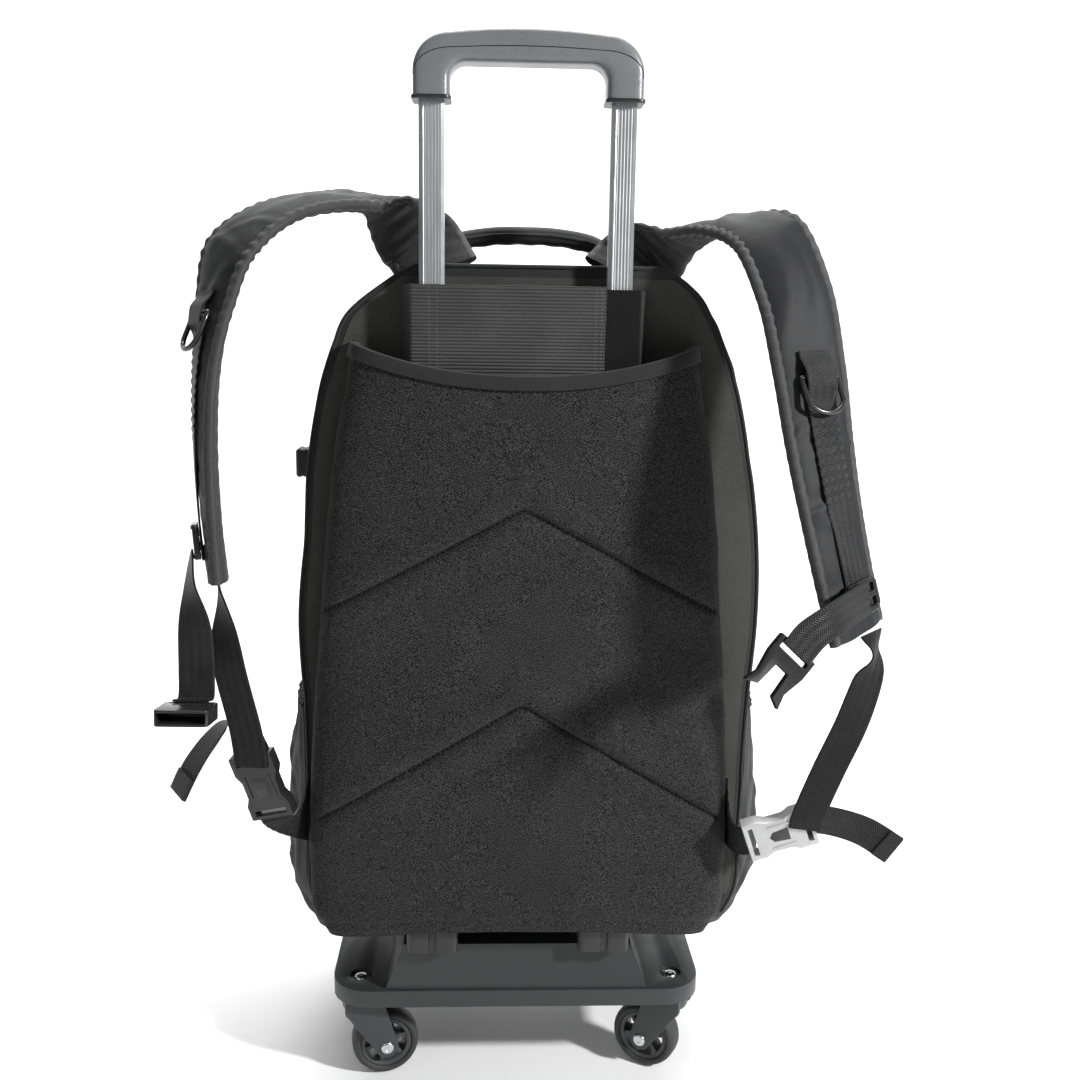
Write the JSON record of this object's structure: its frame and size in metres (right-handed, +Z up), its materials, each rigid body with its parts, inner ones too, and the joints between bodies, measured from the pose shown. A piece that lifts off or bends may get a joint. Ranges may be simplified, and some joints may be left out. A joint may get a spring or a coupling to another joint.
{
  "type": "wheeled backpack",
  "caption": "Soft padded backpack on a moulded base tray with swivelling casters and a telescopic trolley handle; shoulder straps with webbing and buckles.",
  "frame": {"origin": "on the ground, under the middle of the whole backpack's box", "axes": "+Z up, -Y towards the wearer (the side with the shoulder straps), +X to the right of someone who looks at the straps"},
  "size_m": [0.543, 0.3404, 0.8047],
  "materials": {
    "nylon": "woven, matt",
    "smooth_nylon": "close-woven, with a slight sheen",
    "mesh": "spacer mesh, matt",
    "binding": "ribbed tape",
    "webbing": "ribbed webbing",
    "black_plastic": "moulded, satin",
    "grip_plastic": "moulded, satin",
    "grey_plastic": "moulded, matt",
    "tyre": "moulded, matt",
    "aluminium": "drawn and anodised",
    "steel": "zinc plated"
  },
  "bodies": {
    "pack": {"bag_shell": "nylon", "side_pocket_left": "nylon", "side_pocket_right": "nylon", "haul_handle": "nylon", "shoulder_strap_right": "smooth_nylon", "shoulder_strap_left": "smooth_nylon", "back_panel": "mesh", "zip_tape": "binding", "panel_binding": "binding", "hook_loop_tab": "binding", "tube_band": "webbing", "strap_webbing_right": "webbing", "strap_webbing_left": "webbing", "lower_webbing_right": "webbing", "lower_webbing_left": "webbing", "sternum_webbing_right": "webbing", "sternum_webbing_left": "webbing", "webbing_tail_right": "webbing", "webbing_tail_left": "webbing", "corner_tab_right": "webbing", "corner_tab_left": "webbing", "base_tray": "black_plastic", "ladder_lock_right": "black_plastic", "ladder_lock_left": "black_plastic", "sternum_buckle_male": "black_plastic", "sternum_buckle_female": "black_plastic", "charging_port": "black_plastic", "front_rest": "grey_plastic", "tube_foot_left": "grey_plastic", "tube_foot_right": "grey_plastic", "side_release_buckle_right": "grey_plastic", "side_release_buckle_left": "grey_plastic", "outer_tube_left": "aluminium", "outer_tube_right": "aluminium", "zip_slider": "steel", "caster_bolt_rear_left": "steel", "caster_bolt_rear_right": "steel", "caster_bolt_front_left": "steel", "caster_bolt_front_right": "steel"},
    "handle": {"grip_lower_shell": "grip_plastic", "grip_cap": "grip_plastic", "inner_tube_left": "aluminium", "inner_tube_right": "aluminium"},
    "button": {"release_button": "grip_plastic"},
    "ring_right": {"d_ring_right": "black_plastic"},
    "ring_left": {"d_ring_left": "black_plastic"},
    "fork_rear_left": {"caster_fork_rear_left": "black_plastic", "caster_axle_rear_left": "steel"},
    "wheel_rear_left": {"caster_wheel_rear_left": "tyre"},
    "fork_rear_right": {"caster_fork_rear_right": "black_plastic", "caster_axle_rear_right": "steel"},
    "wheel_rear_right": {"caster_wheel_rear_right": "tyre"},
    "fork_front_left": {"caster_fork_front_left": "black_plastic", "caster_axle_front_left": "steel"},
    "wheel_front_left": {"caster_wheel_front_left": "tyre"},
    "fork_front_right": {"caster_fork_front_right": "black_plastic", "caster_axle_front_right": "steel"},
    "wheel_front_right": {"caster_wheel_front_right": "tyre"}
  },
  "joints": [
    {"name": "handle_slide", "type": "slide", "parent": "pack", "child": "handle", "axis": [0, 0, 1], "range_m": [-0.105, 0.2]},
    {"name": "button_press", "type": "slide", "parent": "handle", "child": "button", "axis": [0, 0, -1], "range_m": [0, 0.003], "stiffness_N_per_m": 300, "springref_m": -0.002},
    {"name": "swivel_rear_left", "type": "hinge", "parent": "pack", "child": "fork_rear_left", "pos_m": [-0.14288, -0.01579, 0.0647], "axis": [0, 0, 1], "continuous": true},
    {"name": "spin_rear_left", "type": "hinge", "parent": "fork_rear_left", "child": "wheel_rear_left", "pos_m": [-0.12429, -0.01184, 0.027], "axis": [-0.2079, 0.9781, 0], "continuous": true},
    {"name": "swivel_rear_right", "type": "hinge", "parent": "pack", "child": "fork_rear_right", "pos_m": [0.10912, -0.01579, 0.0647], "axis": [0, 0, 1], "continuous": true},
    {"name": "spin_rear_right", "type": "hinge", "parent": "fork_rear_right", "child": "wheel_rear_right", "pos_m": [0.09267, -0.00629, 0.027], "axis": [-0.5, -0.866, 0], "continuous": true},
    {"name": "swivel_front_left", "type": "hinge", "parent": "pack", "child": "fork_front_left", "pos_m": [-0.14288, 0.14421, 0.0647], "axis": [0, 0, 1], "continuous": true},
    {"name": "spin_front_left", "type": "hinge", "parent": "fork_front_left", "child": "wheel_front_left", "pos_m": [-0.12502, 0.15071, 0.027], "axis": [-0.342, 0.9397, 0], "continuous": true},
    {"name": "swivel_front_right", "type": "hinge", "parent": "pack", "child": "fork_front_right", "pos_m": [0.10912, 0.14421, 0.0647], "axis": [0, 0, 1], "continuous": true},
    {"name": "spin_front_right", "type": "hinge", "parent": "fork_front_right", "child": "wheel_front_right", "pos_m": [0.09077, 0.14913, 0.027], "axis": [-0.2588, -0.9659, 0], "continuous": true},
    {"name": "ring_swing_right", "type": "hinge", "parent": "pack", "child": "ring_right", "pos_m": [0.17937, -0.10916, 0.57501], "axis": [-0.9178, -0.3962, -0.0271], "range_deg": [0, 150]},
    {"name": "ring_swing_left", "type": "hinge", "parent": "pack", "child": "ring_left", "pos_m": [-0.23686, -0.08564, 0.61083], "axis": [-0.5377, 0.8357, -0.1114], "range_deg": [0, 150]}
  ]
}
